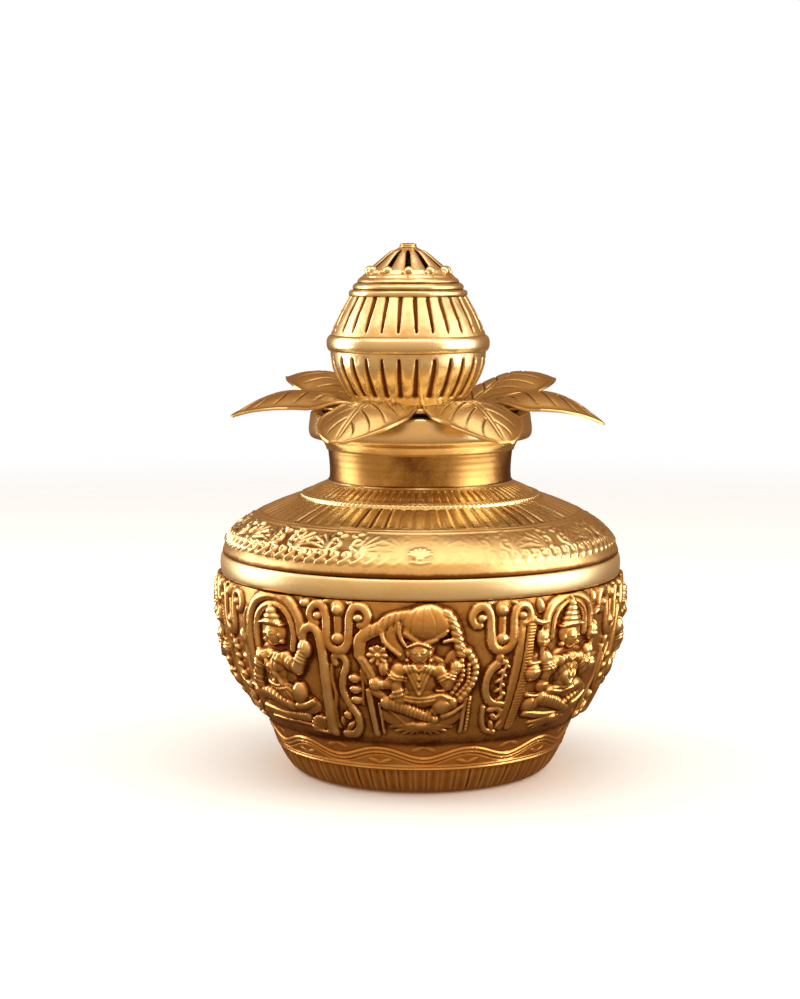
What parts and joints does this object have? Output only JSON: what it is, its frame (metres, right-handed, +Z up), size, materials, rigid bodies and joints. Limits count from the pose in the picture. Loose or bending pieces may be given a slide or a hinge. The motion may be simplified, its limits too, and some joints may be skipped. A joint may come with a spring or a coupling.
{
  "type": "brass kalash pot",
  "caption": "Squat brass water pot with a relief band, a straight neck, and a lift-off leaf crown that holds a lift-off fluted brass coconut.",
  "frame": {"origin": "centre of the flat base on the pot's axis", "axes": "+Z up along the pot's axis, towards the coconut; -Y is the front, where one relief panel faces"},
  "size_m": [0.1548, 0.1548, 0.1985],
  "materials": {
    "relief_brass": "cast figures, worn bright on the high spots with dark brown patina in the hollows",
    "underside_brass": "dull unpolished brass",
    "foot_brass": "satin brass with dark patina in the cut lines",
    "belt_brass": "smooth satin brass",
    "shoulder_brass": "chased satin brass with dark cut lines",
    "mouth_brass": "turned and polished brass with faint turning lines",
    "leaf_brass": "pale satin brass with engraved veins",
    "coconut_brass": "pale satin brass with dark cut grooves",
    "finial_brass": "polished brass"
  },
  "bodies": {
    "pot": {"base_plate": "underside_brass", "foot_ring": "foot_brass", "lower_bowl": "foot_brass", "relief_panel_front": "relief_brass", "relief_panel_front_right": "relief_brass", "relief_panel_right": "relief_brass", "relief_panel_back_right": "relief_brass", "relief_panel_back": "relief_brass", "relief_panel_back_left": "relief_brass", "relief_panel_left": "relief_brass", "relief_panel_front_left": "relief_brass", "seam_belt": "belt_brass", "shoulder": "shoulder_brass", "collar_ring": "shoulder_brass", "neck_tube": "mouth_brass", "rim_ring": "mouth_brass"},
    "leaf_crown": {"crown_plate": "leaf_brass", "crown_skirt": "leaf_brass", "leaf_front_right": "leaf_brass", "leaf_right": "leaf_brass", "leaf_back_right": "leaf_brass", "leaf_back": "leaf_brass", "leaf_back_left": "leaf_brass", "leaf_left": "leaf_brass", "leaf_front_left": "leaf_brass"},
    "coconut": {"coconut_spigot": "coconut_brass", "coconut_cup": "coconut_brass", "coconut_belt": "coconut_brass", "coconut_dome": "coconut_brass", "coconut_moulding": "coconut_brass", "petal_cone": "coconut_brass", "finial_button": "finial_brass"}
  },
  "joints": [
    {"name": "crown_lift", "type": "slide", "parent": "pot", "child": "leaf_crown", "axis": [0, 0, 1], "range_m": [0, 0.09]},
    {"name": "coconut_lift", "type": "slide", "parent": "leaf_crown", "child": "coconut", "axis": [0, 0, 1], "range_m": [0, 0.06]}
  ]
}
